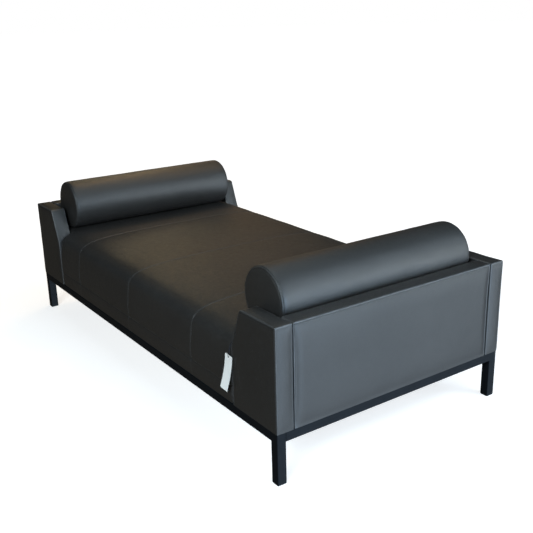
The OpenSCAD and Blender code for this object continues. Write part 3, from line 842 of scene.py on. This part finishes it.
def woven(name, dark, light, scale):
    n = Nodes(name)
    p = n.place()
    warp = n.add("ShaderNodeTexWave", {"Scale": scale, "Distortion": 0.4}, bands_direction="X")
    weft = n.add("ShaderNodeTexWave", {"Scale": scale, "Distortion": 0.4}, bands_direction="Y")
    n.link(p, warp.inputs["Vector"])
    n.link(p, weft.inputs["Vector"])
    weave = n.math("MAXIMUM", warp.outputs["Fac"], weft.outputs["Fac"])
    fuzz = n.noise(p, 300, 4.0)
    colour = n.blend(n.math("MULTIPLY", weave, fuzz), dark, light)
    rough = n.spread(fuzz, 0.3, 0.7, 0.8, 0.95)
    return n.finish(colour, rough, n.bump(weave, 0.5, 0.0004), Sheen_Weight=0.2)


def nylon():
    n = Nodes("glide_nylon")
    p = n.place()
    scuff = n.noise(n.stretch(p, (1, 1, 0.3)), 160, 4.0)
    colour = n.blend(n.spread(scuff, 0.45, 0.7), (0.008, 0.008, 0.009), (0.03, 0.03, 0.03))
    return n.finish(colour, n.spread(scuff, 0.3, 0.7, 0.5, 0.7), n.bump(scuff, 0.2, 0.0002))


def zinc():
    n = Nodes("zinc_steel")
    p = n.place()
    spangle = n.cells(p, 260, "F1")
    colour = n.blend(n.spread(spangle, 0, 0.6), (0.50, 0.52, 0.55), (0.62, 0.63, 0.64))
    scratch = n.noise(n.stretch(p, (40, 40, 900)), 1.0, 2.0)
    rough = n.spread(scratch, 0.3, 0.7, 0.28, 0.45)
    return n.finish(colour, rough, n.bump(scratch, 0.2, 0.0001), Metallic=1.0)


def card():
    n = Nodes("tag_card")
    p = n.place()
    fibre = n.noise(n.stretch(p, (600, 600, 350)), 1.0, 4.0)
    cloud = n.noise(p, 45, 2.0)
    colour = n.blend(n.spread(cloud, 0.3, 0.7), (0.93, 0.91, 0.89), (0.95, 0.94, 0.92))
    colour = n.blend(n.spread(fibre, 0.45, 0.75, 0.0, 0.15), colour, (0.80, 0.79, 0.77))
    return n.finish(colour, n.spread(fibre, 0.3, 0.7, 0.45, 0.6), n.bump(fibre, 0.15, 0.0001))


FINISHES = {
    "base_paint": powder_coat(),
    "glide_nylon": nylon(),
    "pine": wood("pine", (0.42, 0.27, 0.13), (0.66, 0.48, 0.27)),
    "plywood": wood("plywood", (0.36, 0.23, 0.12), (0.60, 0.43, 0.25), layers=True),
    "webbing": woven("webbing", (0.008, 0.008, 0.008), (0.05, 0.045, 0.04), 420),
    "zinc_steel": zinc(),
    "tag_card": card(),
}


def slot_of(name):
    if name == "leg_glides":
        return "glide_nylon"
    if name.startswith(("leg", "long_rail", "end_rail", "cross_bearer")):
        return "base_paint"
    if name.startswith("seat_"):
        return "pine"
    if name.endswith(("bolts", "nuts")):
        return "zinc_steel"
    if "core" in name:
        return "plywood"
    return "tag_card" if name == "swing_tag_card" else "webbing"


for name, node in nodes.items():
    if not node.hide_render:
        node.data.materials.clear()
        node.data.materials.append(FINISHES[slot_of(name)])


# ---- dust cover: black cloth stapled under the seat box ----

SPANS = ("head", "middle", "foot")
CLOTH_SAG, CLOTH_CREASE = 0.006, 0.0012


def make_dust_cover():
    low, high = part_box("dust_cover")
    xs = np.linspace(low.x, high.x, 161)
    ys = np.linspace(low.y, high.y, 73)
    bearers = [sum(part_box(f"cross_bearer_{p}")[k].x for k in (0, 1)) / 2 for p in SPANS]
    stops = np.array([xs[0], *bearers, xs[-1]])
    verts = []
    for x in xs:
        k = min(int(np.searchsorted(stops, x, "right")) - 1, len(stops) - 2)
        span = (x - stops[k]) / (stops[k + 1] - stops[k])
        for y in ys:
            across = (y - ys[0]) / (ys[-1] - ys[0])
            slack = (math.sin(math.pi * span) * math.sin(math.pi * across)) ** 0.8
            crease = noise.noise(Vector((x * 4, y * 9, 1))) * CLOTH_CREASE
            verts.append((x, y, low.z + 0.0004 - CLOTH_SAG * slack + crease * slack))
    n = len(ys)
    faces = [(i * n + j, (i + 1) * n + j, (i + 1) * n + j + 1, i * n + j + 1)
             for i in range(len(xs) - 1) for j in range(n - 1)]
    data = bpy.data.meshes.new("dust_cloth")
    data.from_pydata(verts, [], faces)
    data.polygons.foreach_set("use_smooth", [True] * len(data.polygons))
    data.materials.append(woven("dust_cloth", (0.006, 0.006, 0.006), (0.02, 0.02, 0.02), 700))
    piece = bpy.data.objects.new("dust_cloth", data)
    bpy.context.collection.objects.link(piece)
    thick = piece.modifiers.new("thickness", "SOLIDIFY")
    thick.thickness, thick.offset = 0.0006, 0
    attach(piece, "root")
    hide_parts("dust_cover")


make_dust_cover()


# ---- floor and surroundings ----

FLOOR_GLOW = 0.70                      # round the bed, where its shadow should show
FLOOR_NEAR, FLOOR_FAR, FLOOR_R = 1.4, 3.2, 60
SURROUND_FRONT, SURROUND_BACK = (3.5, 4.1, 4.7), (0.104, 0.090, 0.070)
SURROUND_ABOVE = (0.01, 0.01, 0.01)


def floor_reach(n):
    """0 round the bed, rising to 1 further out, where the floor blends into the white surround."""
    out = n.add("ShaderNodeVectorMath", operation="LENGTH")
    n.link(n.place(), out.inputs[0])
    return n.spread(out.outputs["Value"], FLOOR_NEAR, FLOOR_FAR)


def pale_floor():
    n = Nodes("floor")
    speck = n.noise(n.place(), 3, 2.0)
    colour = n.blend(n.spread(speck, 0.3, 0.7), (0.60, 0.60, 0.60), (0.63, 0.63, 0.63))
    n.link(colour, n.shader.inputs["Base Color"])
    n.shader.inputs["Roughness"].default_value = 0.9
    n.shader.inputs["Specular IOR Level"].default_value = 0.1
    n.link(n.blend(floor_reach(n), (FLOOR_GLOW,) * 3, (1, 1, 1)), n.shader.inputs["Emission Color"])
    n.shader.inputs["Emission Strength"].default_value = 1.0
    return n.material


floor_mesh = bmesh.new()
bmesh.ops.create_circle(floor_mesh, cap_ends=True, radius=FLOOR_R, segments=96)
floor_data = bpy.data.meshes.new("floor")
floor_mesh.to_mesh(floor_data)
floor_data.materials.append(pale_floor())
floor = bpy.data.objects.new("floor", floor_data)
bpy.context.collection.objects.link(floor)
floor.visible_diffuse = floor.visible_glossy = False

world = bpy.data.worlds.new("studio")
bpy.context.scene.world = world
world.use_nodes = True
sky = world.node_tree


def sky_mix(factor, a, b):
    mix = sky.nodes.new("ShaderNodeMix")
    mix.data_type = "RGBA"
    sky.links.new(factor, mix.inputs["Factor"])
    for socket, value in ((mix.inputs[6], a), (mix.inputs[7], b)):
        if isinstance(value, tuple):
            socket.default_value = (*value, 1)
        else:
            sky.links.new(value, socket)
    return mix.outputs[2]


direction = sky.nodes.new("ShaderNodeSeparateXYZ")
heading = sky.nodes.new("ShaderNodeTexCoord").outputs["Generated"]
sky.links.new(heading, direction.inputs["Vector"])
rise = sky.nodes.new("ShaderNodeMapRange")
rise.inputs["From Min"].default_value, rise.inputs["From Max"].default_value = -0.15, 0.15
sky.links.new(direction.outputs["Z"], rise.inputs["Value"])
ahead = sky.nodes.new("ShaderNodeVectorMath")
ahead.operation = "DOT_PRODUCT"
ahead.inputs[1].default_value = (0.997, 0.078, 0)
sky.links.new(heading, ahead.inputs[0])
front = sky.nodes.new("ShaderNodeMapRange")
front.inputs["From Min"].default_value, front.inputs["From Max"].default_value = 0.45, 0.97
sky.links.new(ahead.outputs["Value"], front.inputs["Value"])
ground = sky_mix(front.outputs["Result"], SURROUND_BACK, SURROUND_FRONT)
room = sky_mix(rise.outputs["Result"], ground, SURROUND_ABOVE)
seen = sky.nodes.new("ShaderNodeLightPath").outputs["Is Camera Ray"]
sky.links.new(sky_mix(seen, room, (1.0, 1.0, 1.0)), sky.nodes["Background"].inputs["Color"])
